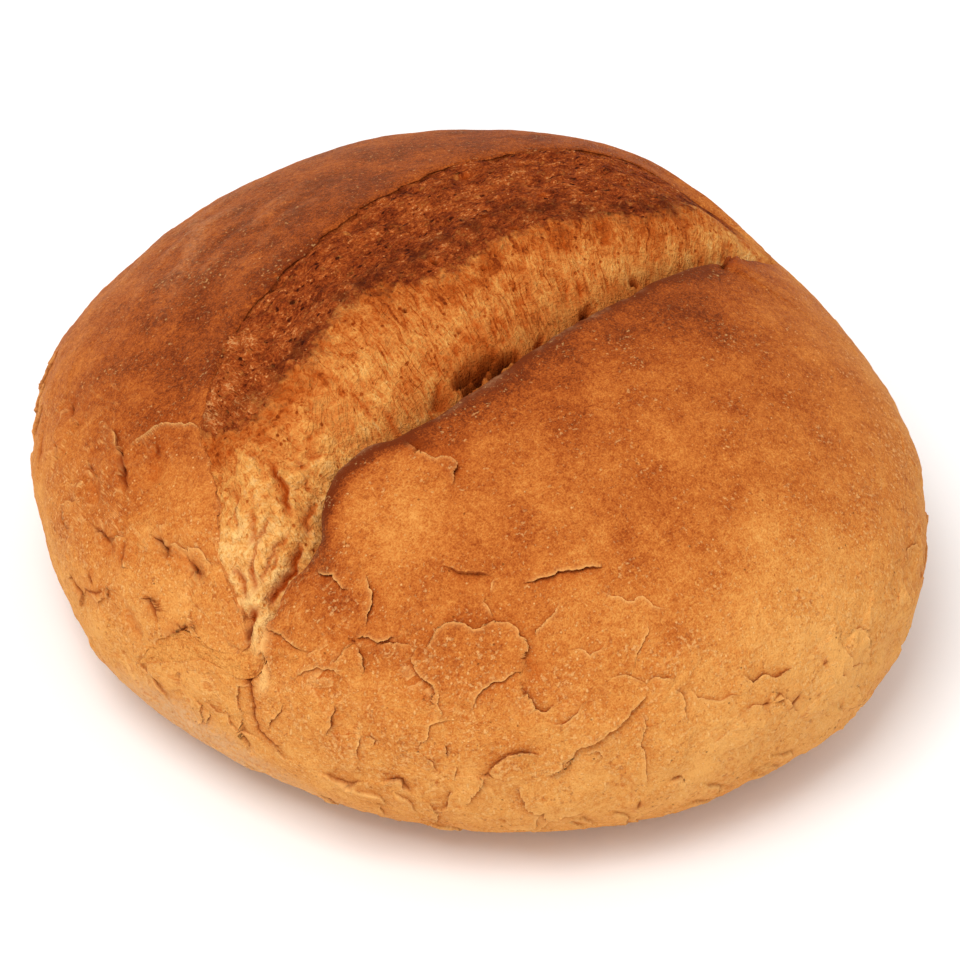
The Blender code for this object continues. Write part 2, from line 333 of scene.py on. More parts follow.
# Kinds of flake edge: (lift, fade inland, sink beside it, depth of the gap, overhang, darkness of its
# painted shadow, pale rim of painted highlight).
EDGE_KINDS = {
    "sheet": (1.2, 12.0, 0.4, 0.4, 0.5, 0.9, 0.8),
    "step": (2.4, 12.0, 0.6, 0.4, 0.2, 1.0, 0.1),
    "plate": (0.9, 8.0, 0.5, 0.3, 0.3, 0.7, 0.8),
    "flake": (0.65, 6.0, 0.4, 0.2, 0.25, 0.55, 0.8),
    "rim": (0.45, 5.0, 0.2, 0.05, 0.1, 0.3, 0.85),
    "crease": (0.9, 9.0, 0.9, 0.3, 0.1, 0.5, 0.1),
}
# Kinds of mark, alike on both sides: (depth, half width, darkness of painted shade, warmth of painted
# orange shade, paleness).
MARK_KINDS = {
    "gash": (1.4, 0.55, 0.9, 1.0, 0.0),
    "notch": (0.8, 1.1, 0.75, 1.0, 0.0),
    "slit": (0.8, 0.4, 0.8, 1.0, 0.0),
    "nick": (0.45, 0.3, 0.8, 1.0, 0.0),
    "dent": (1.3, 2.6, 0.0, 0.8, 0.0),
    "strip": (-0.7, 1.8, 0.0, 0.0, 1.0),
}
# The edges and marks that show, as kinds and x,y pixels of the photograph. Following an edge's pixels,
# its raised side is on the right.
PHOTO_EDGES = (
    "sheet 405,438 411,443 418,450 430,457 436,459 442,457 456,463 450,485",
    "plate 348,592 341,589 335,581 333,575 325,576 318,574 317,566",
    "plate 423,650 433,632 451,622 461,623 472,630 482,629 494,621 511,625 519,637 529,647 525,656 524,671",
    "flake 523,671 515,673 507,678 503,682 492,683 482,690 476,698 472,710",
    "plate 434,714 431,702 436,692 432,685 422,679 414,669 411,656 413,649",
    "flake 371,649 384,643 397,643 413,648",
    "plate 522,679 525,692 532,702 535,711 542,714 553,708 557,702",
    "flake 484,599 488,608 493,618",
    "rim 491,594 492,583 495,579",
    "crease 495,579 484,574 473,573 463,572 440,566",
    "plate 604,560 603,567 584,569 565,571 549,577 542,578 522,584",
    "plate 649,692 643,701 632,711 620,726 607,734 593,744 582,748 578,751 568,763 565,769 551,783",
    "flake 649,685 657,678 668,679 679,684",
    "rim 608,682 630,676 649,686",
    "plate 477,786 480,780 489,776 495,767 504,760 519,757 532,757 542,760",
    "plate 588,811 580,814 572,815 563,816 551,821 545,815 536,812 528,807 522,797 518,788",
    "rim 572,819 584,820 591,824 597,828",
    "flake 435,809 441,811 448,808 450,797 456,792",
    "plate 379,784 391,782 402,782 407,790 416,796",
    "flake 443,748 447,760",
    "rim 453,768 454,778 452,784",
    "rim 534,644 545,623 553,615 556,611 557,599",
    "rim 601,589 612,596 624,599 635,602 643,596 654,606 670,612",
    "rim 570,650 584,650 591,657 599,652 607,642",
    "rim 649,619 647,637 639,656 637,669",
    "rim 649,709 649,728 642,744 647,770 649,788",
    "flake 668,785 681,781 687,782 684,776",
    "plate 364,572 367,584 371,594 371,604 367,614 366,623 365,629",
    "flake 397,642 393,638 384,640 376,644 371,640 364,638 355,637 351,632",
    "flake 324,667 339,658 345,647 354,646",
    "plate 354,646 359,655 361,667 361,676",
    "plate 303,650 296,649 284,639 275,632 271,626",
    "rim 304,658 310,653 315,649",
    "plate 331,704 333,713 329,722 327,731 324,738",
    "rim 363,737 374,742 371,750",
    "flake 280,705 279,711 270,719 267,730",
    "crease 241,720 238,730 241,739 250,754",
    "rim 124,447 136,437 147,430 150,426 162,421 182,424 193,424 198,430",
    "plate 107,424 113,443 118,452 119,467 121,484",
    "rim 83,456 84,464 90,473",
    "plate 64,533 61,521 60,507 63,501 73,498",
    "flake 87,522 97,532 105,540 106,548",
    "flake 105,540 115,536 124,536",
    "plate 146,533 155,538 161,544 162,555 161,562",
    "rim 146,533 153,527 164,522",
    "plate 184,559 190,570 201,576",
    "rim 153,535 173,542 185,547 201,556 217,562",
    "rim 124,561 120,570",
    "flake 135,597 150,600 155,611 156,620",
    "flake 181,619 184,627 165,638 165,656",
    "flake 66,573 69,584",
    "flake 102,585 103,590 103,599",
    "flake 75,591 79,597 79,610",
    "plate 232,600 238,610 247,618 249,632 251,646 251,667",
    "flake 267,683 266,652 268,627 271,622",
    "rim 757,777 775,764",
    "rim 744,710 766,708 775,704",
    "rim 693,687 700,700 720,702 746,694",
    "step 727,268 727,262 729,257 734,256 744,259",
)
PHOTO_MARKS = (
    "gash 152,440 153,449 155,459",
    "dent 64,395 67,409 67,417",
    "slit 37,425 36,441 36,466",
    "slit 52,441 52,455",
    "gash 60,505 60,518 63,533",
    "nick 84,573 86,580",
    "slit 247,618 249,632 251,646 250,667 247,684 249,699 252,717 257,731 267,738 278,744 285,752",
    "strip 264,622 263,650 261,676 258,702",
    "gash 727,269 728,262 731,257",
    "notch 731,269 732,263 733,257",
    "dent 150,533 160,545 172,553 186,562 201,576",
    "dent 84,470 90,490 92,512",
    "dent 150,455 152,470 148,490",
    "dent 125,600 128,625 140,645",
    "dent 104,536 106,546 103,560",
    "dent 529,640 534,665 530,692",
    "dent 246,560 256,575 262,590",
    "nick 790,713 800,701 807,692",
    "nick 827,667 833,662",
    "nick 765,707 775,704",
    "slit 925,568 923,591",
    "nick 639,806 641,798",
    "gash 349,643 354,641",
    "gash 408,440 413,444 420,447",
    "slit 64,397 66,408 68,418",
    "gash 114,448 118,457 119,468 121,482 121,494",
    "slit 83,459 90,472",
    "slit 91,525 98,532 105,540 106,551",
    "slit 147,534 158,540 162,550 162,560",
    "slit 184,558 190,568 197,575 207,577",
    "slit 137,599 148,601 153,610 156,626",
    "nick 122,537 121,556 121,572",
    "slit 66,574 72,586 78,595 80,606",
    "nick 78,595 90,592 102,590 102,584",
    "nick 83,575 89,584",
    "nick 182,618 184,627 172,634 160,639",
)
EDGE_GATHER = 2.4  # skin within this distance of an edge is drawn in towards it
GATHER_POWER = 2.3
JAG_SHARE = 0.10  # how far an edge strays between its pixels, over their distance
JAG_STEPS = 3  # each puts a ragged corner into the middle of every stretch
EDGE_TAPER = 5.0  # length over which an edge dies out at its ends
WARM_REACH = 2.2  # the skin beside a gap is painted a deeper orange shade about this far
BOX_SPARE = 2.5  # how far the lumps of the loaf can take a line off the smooth form
# Distances over which an edge's sharp curl, gap, overhang, dark line of painted shadow and pale rim of
# painted highlight fade.
CURL_FADE, GAP_FADE, OVERHANG_FADE, DARK_FADE, RIM_FADE = 1.5, 0.6, 0.9, 0.45, 0.35
SEED = 7  # without one the vector noise follows the clock
random = np.random.default_rng(SEED)
noise.seed_set(SEED)


def jagged(line, share=JAG_SHARE):
    """The line with finer, ragged corners between its own."""
    for _ in range(JAG_STEPS):
        middles = (line[1:] + line[:-1]) / 2.0
        aside = np.cross(np.diff(line, axis=0), outward(middles))
        stray = np.clip(random.normal(0.0, share, (len(middles), 1)), -2 * share, 2 * share)
        middles = middles + aside * stray
        finer = np.empty((len(line) + len(middles), 3))
        finer[0::2], finer[1::2] = line, middles
        line = finer
    return line


def path(text):
    """Places of a line written as x,y pairs."""
    return [tuple(map(float, pair.split(","))) for pair in text.split()]


def line_under(pixels, share=JAG_SHARE):
    """Ragged line on the loaf under pixels of the photograph."""
    return jagged(np.array([place_under(x, y) for x, y in path(pixels)]) - MIDDLE, share)


def beside(points, ups, line):
    """Distance of points from a line, direction away, +1 on its raised side, and its taper at the ends."""
    starts, steps = line[:-1], np.diff(line, axis=0)
    lengths = np.linalg.norm(steps, axis=1)
    aheads = steps / lengths[:, None]
    bends = np.vstack((aheads[:1], aheads[1:] + aheads[:-1], aheads[-1:]))
    bends /= np.linalg.norm(bends, axis=1, keepdims=True)
    offsets = points[:, None] - starts
    offsets -= (offsets * ups[:, None]).sum(2, keepdims=True) * ups[:, None]
    share = np.clip((offsets * steps).sum(2) / lengths**2, 0.0, 1.0)
    aways = offsets - share[..., None] * steps
    nearest = np.argmin((aways**2).sum(2), axis=1)
    picked = np.arange(len(points)), nearest
    share, away = share[picked], aways[picked]
    distance = np.maximum(np.linalg.norm(away, axis=1), 1e-6)
    along = bends[nearest] * (1.0 - share[:, None]) + bends[nearest + 1] * share[:, None]
    side = np.sign((np.cross(along, ups) * away).sum(1))
    passed = np.concatenate(([0.0], np.cumsum(lengths)))
    place = passed[nearest] + share * lengths[nearest]
    from_end = np.minimum(place, passed[-1] - place)
    taper = rise(from_end, -0.2, min(EDGE_TAPER, passed[-1] / 2.5))
    return distance, away / distance[:, None], side, taper


def close_to(points, line, reach):
    """Numbers of the points within reach of a line's box."""
    reach += BOX_SPARE
    return np.flatnonzero(((points > line.min(0) - reach) & (points < line.max(0) + reach)).all(1))


edges = []
for row in PHOTO_EDGES + PHOTO_MARKS:
    kind, pixels = row.split(" ", 1)
    edges.append((kind, line_under(pixels)))

# Smaller ones strewn round the foot and over the sides that don't show: (how many, bearings, heights in
# mm, lengths, kinds and their shares).
MORE_EDGES = (
    (34, (185.0, 300.0), (4.0, 30.0), (8.0, 20.0), {"rim": 1.0}),
    (22, (170.0, 245.0), (28.0, 66.0), (6.0, 16.0), {"flake": 0.3, "rim": 0.7}),
    (24, (235.0, 325.0), (26.0, 62.0), (6.0, 18.0), {"flake": 0.15, "rim": 0.85}),
    (60, (25.0, 140.0), (8.0, 58.0), (6.0, 20.0), {"plate": 0.25, "flake": 0.35, "rim": 0.2, "slit": 0.2}),
    (40, (-60.0, 40.0), (6.0, 40.0), (4.0, 13.0), {"flake": 0.35, "rim": 0.35, "slit": 0.15, "nick": 0.15}),
)


def strewn_edge(bearing, height, length, kind):
    """Ragged, slightly bent edge lying upright or askew at a bearing and height on the loaf."""
    is_top = height > BELLY_HEIGHT
    if is_top:
        share = rounded((height - BELLY_HEIGHT) / (DOME_HEIGHT - BELLY_HEIGHT), DOME_FULLNESS)
    else:
        share = BASE_SHARE + (1.0 - BASE_SHARE) * rounded(1.0 - height / BELLY_HEIGHT, SIDE_FULLNESS)
    middle = smooth_loaf(share * math.cos(bearing), share * math.sin(bearing), is_top)
    up = outward(middle)
    level = np.cross(up, (0.0, 0.0, 1.0))
    level /= np.linalg.norm(level)
    slope = random.normal(math.radians(90.0), math.radians(50.0))
    ahead = level * math.cos(slope) + np.cross(up, level) * math.sin(slope)
    steps = np.linspace(-0.5, 0.5, 6)[:, None]
    bend = random.normal(0.0, 0.35) * (4.0 * steps**2 - 1.0) / 2.0 + random.normal(0.0, 0.05, (6, 1))
    return kind, jagged(middle + (ahead * steps + np.cross(ahead, up) * bend) * length)


for count, bearings, heights, lengths, kinds in MORE_EDGES:
    for _ in range(count):
        kind = str(random.choice(list(kinds), p=list(kinds.values())))
        bearing, height, length = (random.uniform(*span) for span in (bearings, heights, lengths))
        edges.append(strewn_edge(math.radians(bearing), height, length, kind))


def deepen(marks, close, amount):
    """Raises marks at the close points to an amount, where they are lower."""
    marks[close] = np.maximum(marks[close], amount)


def flaked_skin(points, ups):
    """Skin with its edges and marks: points, and how far each is in a gap, beside one and on a rim, which
    give its painted shadow, painted warm shade, and painted highlight and pale strips.
    """
    shape = points.shape
    points, ups = points.reshape(-1, 3).copy(), ups.reshape(-1, 3)
    for kind, line in edges:
        close = close_to(points, line, EDGE_GATHER)
        if len(close):
            distance, away, _, _ = beside(points[close], ups[close], line)
            pull = np.clip(distance / EDGE_GATHER, 0.0, 1.0) ** GATHER_POWER * EDGE_GATHER - distance
            points[close] += away * np.where(distance < EDGE_GATHER, pull, 0.0)[:, None]
    shift = np.zeros_like(points)
    gap_shade, warm_shade, rim = np.zeros((3, len(points)))
    for kind, line in edges:
        is_mark = kind in MARK_KINDS
        if is_mark:
            depth, width, dark, shade_warmth, pale = MARK_KINDS[kind]
            close = close_to(points, line, 3.0 * width + WARM_REACH)
        else:
            lift, fade, sink, depth, overhang, dark, pale = EDGE_KINDS[kind]
            close = close_to(points, line, 3.0 * fade)
        if not len(close):
            continue
        distance, away, side, taper = beside(points[close], ups[close], line)
        if is_mark:
            cut = taper * bell(distance, width)
            shift[close] -= ups[close] * (depth * cut)[:, None]
            deepen(gap_shade, close, dark * cut)
            deepen(warm_shade, close, taper * shade_warmth * np.exp(-distance / max(width, WARM_REACH)))
            deepen(rim, close, pale * cut)
            continue
        raised = side > 0.0
        curl = lift * (0.7 * np.exp(-distance / fade) + 0.3 * np.exp(-distance / CURL_FADE))
        hollow = sink * np.exp(-distance / (0.6 * fade)) + depth * bell(distance, GAP_FADE)
        up = taper * np.where(raised, curl, -hollow)
        over = taper * overhang * np.exp(-distance / OVERHANG_FADE)
        shift[close] += ups[close] * up[:, None] - away * over[:, None]
        deepen(gap_shade, close, np.where(raised, 0.0, taper * dark * np.exp(-distance / DARK_FADE)))
        deepen(warm_shade, close, np.where(raised, 0.0, taper * dark * np.exp(-distance / WARM_REACH)))
        deepen(rim, close, np.where(raised, taper * pale * np.exp(-distance / RIM_FADE), 0.0))
    marks = (mark.reshape(shape[:-1]) for mark in (gap_shade, warm_shade, rim))
    return (points + shift).reshape(shape), *marks


def cracked(points, size, bend=0.4):
    """Plates of a size: heights from -1 to 1, and edges, 1 on a raised plate's rim and -1 at its foot."""
    flat = (points / size).reshape(-1, 3)
    bends = np.array([noise.noise_vector(p) for p in (2.1 * flat).tolist()])
    cells = [noise.voronoi(p) for p in (flat + bend * bends).tolist()]
    gaps = np.array([near[1] - near[0] for near, _ in cells])
    own, other = (np.array([noise.noise(7.3 * middles[n]) for _, middles in cells]) for n in (0, 1))
    blend = 0.5 + 0.5 * rise(gaps, 0.0, 0.07)
    edge = np.exp(-gaps * size / 0.45) * np.clip(3.0 * (own - other), -1.0, 1.0)
    shape = points.shape[:-1]
    return (own * blend + other * (1.0 - blend)).reshape(shape), edge.reshape(shape)


def brittle(points):
    """How dry and flaky the crust is at points: most at the foot and the left, hardly near the slash."""
    x, y, z = np.moveaxis(points, -1, 0)
    low = rise(12.0 * rise(-x, 70.0, 100.0) - z, -88.0, -58.0)
    return low * (0.45 + 0.55 * rise(-x - 0.6 * y, -35.0, 60.0))


def broad_form(points):
    """Lift of the broad swells and hollows of the loaf."""
    lift = lumps(points, 45.0)
    for middle, radius, height in SWELLS:
        lift += height * around(points, middle, radius)
    return lift


def crust_form(points):
    """Lift of the crust at points, from broad swells to small bumps, and the edges of its plates."""
    dry = brittle(points)
    plate, edge = cracked(points, 13.0)
    small_plate, small_edge = cracked(points, 6.5)
    seen = dry * rise(lumps(points, 15.0, 5.5), -0.4, 0.1)
    lift = broad_form(points) + (0.35 + 0.65 * dry) * lumps(points, 14.0, 3.1)
    lift += (0.10 + 0.32 * dry) * lumps(points, 5.5, 7.7) + (0.05 + 0.12 * dry) * lumps(points, 2.0, 1.9)
    return lift + dry * (1.0 * plate + 0.35 * small_plate), seen * (edge + 0.5 * small_edge)


def burst_lift(points, rows):
    """Lift of rows across the burst, with the sinking of the torn dough at its ends."""
    place, lift = (values[:, None] for values in profile(rows))
    x = columns * HALF_LENGTH
    first, last = TORN_PLACES
    sinking = np.where(place > first, np.minimum(1.0, 1.0 - (place - last) / SINK_FADE), 0.0)
    return through(BURST_STRENGTH, x) * lift - sinking * through(TORN_SINK, x)


# Paler and browner patches of the crust, the last one a painted shadow under the sheet's edge by the lip:
# (pixel of the photograph, radius, browner by).
BAKED_AND_SHADED_PATCHES = (
    ((655, 500), 6.0, 0.14),
    ((628, 532), 4.0, 0.12),
    ((700, 318), 14.0, 0.12),
    ((120, 500), 42.0, -0.09),
    ((380, 505), 16.0, -0.08),
    ((430, 660), 26.0, 0.14),
    ((830, 640), 34.0, -0.22),
    ((850, 440), 38.0, 0.09),
    ((760, 470), 4.0, 0.14),
    ((672, 632), 5.0, 0.14),
    ((600, 690), 5.0, 0.12),
    ((310, 215), 20.0, 0.03),
    ((172, 508), 11.0, -0.11),
    ((230, 330), 30.0, 0.08),
    # Browner crust and painted shadow where the sheet's edge overhangs the lip.
    ((418, 440), 3.0, 0.30),
)


def baked(points):
    """How brown the crust is at points, with one patch of painted shadow: 0 golden, 1 dark brown."""
    x, y, z = np.moveaxis(points, -1, 0)
    level = 0.18 + 0.38 * rise(z, 34.0, 104.0) + 0.30 * rise(y, -20.0, 40.0) * rise(z, 30.0, 84.0)
    for pixel, radius, amount in BAKED_AND_SHADED_PATCHES:
        level += amount * around(points, place_under(*pixel) - MIDDLE, radius)
    return level + 0.10 * lumps(points, 28.0, 11.0)


def flecking(points):
    """How thickly the crust is flecked at points: most below the slash and at the foot."""
    x, y, z = np.moveaxis(points, -1, 0)
    near = 1.0 - rise(y + 0.5 * x, -20.0, 30.0)
    low = 0.1 + 0.9 * rise(-z, -96.0, -60.0)
    return np.clip(low * near + 0.22 * lumps(points, 22.0, 31.0), 0.0, 1.0)


def crust_skin(points, more_lift=0.0, lift_share=1.0):
    """Skin of the crust over points of the smooth loaf, and its marks under their names."""
    ups = outward(points)
    lift, plate_edge = crust_form(points)
    flaked, gap_shade, warm_shade, rim = flaked_skin(points, ups)
    # The feet of raised plates get painted warm shade, and their rims a painted highlight.
    return flaked + ups * (lift_share * (lift + more_lift))[..., None], {
        "baking_shade_and_sheen": baked(points),
        "flecks": flecking(points),
        "gap_shade": gap_shade,
        "warm_shade": np.maximum(warm_shade, -plate_edge),
        "rim": np.maximum(rim, 0.65 * plate_edge),
    }


def skin_pieces(name, points, fields, material, tiles=1):
    """Closed pieces of the loaf: a grid laid over rows of points in mm, with walls down to the heart."""
    cuts = np.linspace(0, len(points) - 1, tiles + 1).round().astype(int)
    for number, first in enumerate(cuts[:-1]):
        rows = slice(first, cuts[number + 1] + 1)
        label = name if tiles == 1 else f"{name}_{number + 1}"
        skin_piece(label, points[rows], {field: values[rows] for field, values in fields.items()}, material)


def skin_piece(name, points, fields, material):
    """Closed piece of the loaf under a grid of points in mm."""
    rows, across = points.shape[:2]
    bm = bmesh.new()
    bmesh.ops.create_grid(bm, x_segments=across - 1, y_segments=rows - 1, size=1.0)
    mesh = bpy.data.meshes.new(name)
    bm.to_mesh(mesh)
    bm.free()
    laid = np.clip((points * FIT + MIDDLE) * MM, *cad_box)
    mesh.vertices.foreach_set("co", laid.astype(np.float32).ravel())
    for field, values in fields.items():
        kind, label = ("FLOAT_VECTOR", "vector") if values.ndim == 3 else ("FLOAT", "value")
        layer = mesh.attributes.new(field, kind, "POINT").data
        layer.foreach_set(label, values.astype(np.float32).ravel())
    bm = bmesh.new()
    bm.from_mesh(mesh)
    bmesh.ops.remove_doubles(bm, verts=bm.verts, dist=WELD)
    walls = bmesh.ops.extrude_edge_only(bm, edges=[e for e in bm.edges if e.is_boundary])
    tips = [v for v in walls["geom"] if isinstance(v, bmesh.types.BMVert)]
    bmesh.ops.pointmerge(bm, verts=tips, merge_co=HEART)
    bmesh.ops.recalc_face_normals(bm, faces=bm.faces)
    bm.to_mesh(mesh)
    bm.free()
    mesh.shade_smooth()
    mesh.set_sharp_from_angle(angle=SHARP)
    mesh.materials.append(material)
    piece = bpy.data.objects.new(name, mesh)
    scene.collection.objects.link(piece)
    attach(piece, "root")
    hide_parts("loaf")


def feed(socket, value):
    """Links a socket to another one, or sets its number or colour."""
    if isinstance(value, bpy.types.NodeSocket):
        socket.id_data.links.new(value, socket)
    else:
        socket.default_value = value


def put(tree, kind, settings=None, **inputs):
    """Adds a node. Each input is a number, a colour or the socket that feeds it."""
    node = tree.nodes.new("ShaderNode" + kind)
    for name, value in (settings or {}).items():
        setattr(node, name, value)
    for name, value in inputs.items():
        feed(node.inputs[name.replace("_", " ")], value)
    return node


def worked(operation, *values, clamp=False):
    """Result of an operation on values, of which at least one is a socket."""
    tree = next(value for value in values if isinstance(value, bpy.types.NodeSocket)).id_data
    node = put(tree, "Math", {"operation": operation, "use_clamp": clamp})
    for number, value in enumerate(values):
        feed(node.inputs[number], value)
    return node.outputs[0]


# The product and the larger one of two values, and a product of two that is added onto a third.
product, larger, added = (partial(worked, name) for name in ("MULTIPLY", "MAXIMUM", "MULTIPLY_ADD"))


def swing(value, amount, onto, clamp=False):
    """A value's swing about a half, times an amount, added onto another value."""
    return added(worked("SUBTRACT", value, 0.5), amount, onto, clamp=clamp)


def colour_of(red, green, blue):
    """Colour of a pixel value as Blender's linear light."""
    shares = (part / 255.0 for part in (red, green, blue))
    return (*(s / 12.92 if s < 0.0404 else ((s + 0.055) / 1.055) ** 2.4 for s in shares), 1.0)


def mixed(share, first, second):
    """Colour between two others. The second may be a pixel value."""
    node = put(share.id_data, "Mix", {"data_type": "RGBA"})
    second = colour_of(*second) if isinstance(second, tuple) else second
    for number, value in ((0, share), (6, first), (7, second)):
        feed(node.inputs[number], value)
    return node.outputs[2]


def ramp(share, stops):
    """Colour ramp through (place, pixel value) stops."""
    node = put(share.id_data, "ValToRGB", Fac=share)
    for number, (place, colour) in enumerate(stops):
        elements = node.color_ramp.elements
        stop = elements[number] if number < 2 else elements.new(place)
        stop.position, stop.color = place, colour_of(*colour)
    return node.outputs[0]


def stretched(where, stretch):
    """Coordinates scaled along their axes."""
    return put(where.id_data, "Mapping", Vector=where, Scale=stretch).outputs[0]


def clouds(where, size, detail=2.0, roughness=0.5, stretch=(1.0, 1.0, 1.0)):
    """Noise value with lumps of a size in metres."""
    return put(where.id_data, "TexNoise", Vector=stretched(where, stretch), Scale=1.0 / size,
               Detail=detail, Roughness=roughness).outputs[0]


def between(value, low, high):
    """Share from 0 to 1 as a value goes from low to high."""
    return put(value.id_data, "MapRange", Value=value, From_Min=low, From_Max=high).outputs[0]


def specks(where, spacing, radius, share, stretch=(1.0, 1.0, 1.0)):
    """Mask of specks: their spacing in metres, radius over it, and the share of places with one."""
    cells = put(where.id_data, "TexVoronoi", Vector=stretched(where, stretch), Scale=1.0 / spacing)
    chosen = worked("LESS_THAN", cells.outputs["Color"], share)
    return product(between(cells.outputs["Distance"], radius, 0.5 * radius), chosen)


def paint_group(name, **inputs):
    """Shader group for a skin's colour and height: the group, its input sockets and its results."""
    group = bpy.data.node_groups.new(name, "ShaderNodeTree")
    for label, kind in inputs.items():
        group.interface.new_socket(label, in_out="INPUT", socket_type="NodeSocket" + kind)
    for label, kind in (("Colour", "Color"), ("Height", "Float")):
        group.interface.new_socket(label, in_out="OUTPUT", socket_type="NodeSocket" + kind)
    given, result = (group.nodes.new("NodeGroup" + end) for end in ("Input", "Output"))
    return group, [given.outputs[label] for label in inputs], result.inputs


# Browned crust as a group: the colour deepens with the baking, and is grained and flecked, and its pores
# are painted dark as their shade.
CRUST_COLOURS = (
    (0.0, (236, 169, 92)), (0.25, (220, 144, 69)), (0.5, (198, 112, 46)), (0.75, (164, 77, 26)),
    (1.0, (108, 42, 13)),
)
# The flour colour also paints a sheen on the far crust; the rim colour paints a highlight on raised rims,
# and the pale of strips and the torn border.
FLOUR_AND_SHEEN_COLOUR, RIM_COLOUR, FLECK_COLOUR = (224, 176, 128), (244, 182, 108), (249, 194, 124)
SPOT_COLOUR, PORE_SHADE_COLOUR = (146, 62, 20), (104, 40, 14)
WARM_SHADE_COLOUR, GAP_SHADOW_COLOUR = (188, 84, 20), (132, 48, 10)
browned, (where, baking_shade_and_sheen, flecked), result = paint_group(
    "browned_crust", Where="Vector", Baking="Float", Flecks="Float")
grain = clouds(where, 0.0018, 3.0, 0.7)
sand = clouds(where, 0.00055, 2.0, 0.7)
cluster = clouds(where, 0.011, 3.0, 0.6)
level = swing(grain, 0.6, swing(cluster, 0.6, baking_shade_and_sheen))
level = swing(sand, 0.85, level, clamp=True)
smear = swing(cluster, 0.35, clouds(where, 0.0012, 3.0, 0.6))
smear = between(added(flecked, 0.08, smear), 0.64, 0.74)
dots = specks(where, 0.0013, 0.28, added(flecked, 0.32, 0.06))
dashes = specks(where, 0.0019, 0.22, product(flecked, 0.5), (1.0, 1.0, 0.35))
flecks = larger(product(smear, 0.45), product(larger(dots, dashes), 0.6))
spots = between(swing(cluster, -0.3, clouds(where, 0.0017, 2.0, 0.6)), 0.37, 0.30)
shaded_pores = specks(where, 0.0029, 0.12, 0.22)
colour = mixed(flecks, ramp(level, CRUST_COLOURS), FLECK_COLOUR)
colour = mixed(product(spots, 0.45), colour, SPOT_COLOUR)
feed(result["Colour"], mixed(product(shaded_pores, 0.55), colour, PORE_SHADE_COLOUR))
height = added(flecks, 0.35, added(sand, 0.6, product(grain, 0.7)))
feed(result["Height"], added(shaded_pores, -0.5, height))


def new_material(name, roughness):
    """Material with hardly any shine: itself, its tree, its shader's inputs and the places on it."""
    material = bpy.data.materials.new(name)
    material.use_nodes = True
    tree = material.node_tree
    shader = tree.nodes["Principled BSDF"].inputs
    shader["Roughness"].default_value = roughness
    shader["Specular IOR Level"].default_value = 0.03
    return material, tree, shader, put(tree, "TexCoord").outputs["Object"]


def marked(tree, *names):
    """Values painted on the skin under the given names."""
    return [put(tree, "Attribute", {"attribute_name": name}).outputs["Fac"] for name in names]


def roughened(shader, height, depth):
    """Lets a height roughen a shader's surface, up to a depth in metres."""
    bump = put(height.id_data, "Bump", Height=height, Strength=0.8, Distance=depth)
    feed(shader["Normal"], bump.outputs[0])


crust, tree, shader, where = new_material("crust", 0.62)
baking_shade_and_sheen, flecked, gap_shade, warm_shade, rim, flour_and_sheen = marked(tree, "baking_shade_and_sheen", "flecks", "gap_shade", "warm_shade", "rim", "flour_and_sheen")
skin = put(tree, "Group", {"node_tree": browned}, Where=where, Baking=baking_shade_and_sheen, Flecks=flecked)
# The flour mark also carries a painted sheen on the far crust.
dust_and_sheen = product(flour_and_sheen, between(clouds(where, 0.0014, 3.0, 0.6), 0.3, 0.6))
colour = mixed(dust_and_sheen, skin.outputs["Colour"], FLOUR_AND_SHEEN_COLOUR)
# Painted warm shade beside gaps, painted highlight on raised rims with the pale of strips, and painted
# shadow in the gaps.
colour = mixed(product(warm_shade, 0.55), colour, WARM_SHADE_COLOUR)
colour = mixed(rim, colour, RIM_COLOUR)
feed(shader["Base Color"], mixed(gap_shade, colour, GAP_SHADOW_COLOUR))
shader["Sheen Weight"].default_value = 0.06
shader["Sheen Tint"].default_value = colour_of(255, 190, 120)
roughened(shader, skin.outputs["Height"], 0.0011)

CRUST_ROWS, LIP_ROWS = 230, 76
FLAP_FROM, FLAP_TO = (46.0, 56.0), (-92.0, -84.0)  # x, to the left and the right, where the flap fades
FLAP_REACH, LIP_REACH, EDGE_REACH = 5.5, 17.0, 2.0  # how far inland they are browner
TUCKED = (4.6, 5.8)  # stations over which the skin turns in under the lip
FLOURED, FLOURED_WIDTH = 4.2, 0.7  # the lip's floury edge, in stations
lip_rows = even_rows(0.0, LIP_END, LIP_ROWS)
lip_angles = burst_angles(lip_rows)
crust_angles = lip_angles[0] * np.linspace(0.0, 1.0, CRUST_ROWS, endpoint=False)[:, None]
near_points = rings(np.vstack((crust_angles, lip_angles)))
lip_lift, tucked, lip_edge = np.zeros((3, *near_points.shape[:2]))
lip_lift[CRUST_ROWS:] = burst_lift(near_points[CRUST_ROWS:], lip_rows)
tucked[CRUST_ROWS:] = rise(lip_rows, *TUCKED)[:, None]
lip_edge[CRUST_ROWS:] = bell(lip_rows[:, None] - FLOURED, FLOURED_WIDTH)
near_skin, marks = crust_skin(near_points, lip_lift)
strength = through(BURST_STRENGTH, columns * HALF_LENGTH)
inland = np.maximum(through(NEAR_LINE, near_points[..., 0]) - near_points[..., 1], 0.0)
flap = rise(-near_points[..., 0], *FLAP_FROM) * rise(near_points[..., 0], *FLAP_TO)
browner = (1.0 - flap) * 0.36 * np.exp(-inland / LIP_REACH) + 0.22 * np.exp(-inland / EDGE_REACH)
marks["baking_shade_and_sheen"] += strength * (browner + 0.6 * flap * bell(inland, FLAP_REACH))
# The skin turning in under the lip is painted dark as its shade.
marks["gap_shade"] = np.maximum(marks["gap_shade"], 0.8 * tucked * strength)
marks["flour_and_sheen"] = 0.25 * strength * lip_edge * rise(strays(14.0, 1.0, 21.0), -0.3, 0.5)
skin_pieces("crust_near", near_skin, marks, crust, tiles=2)

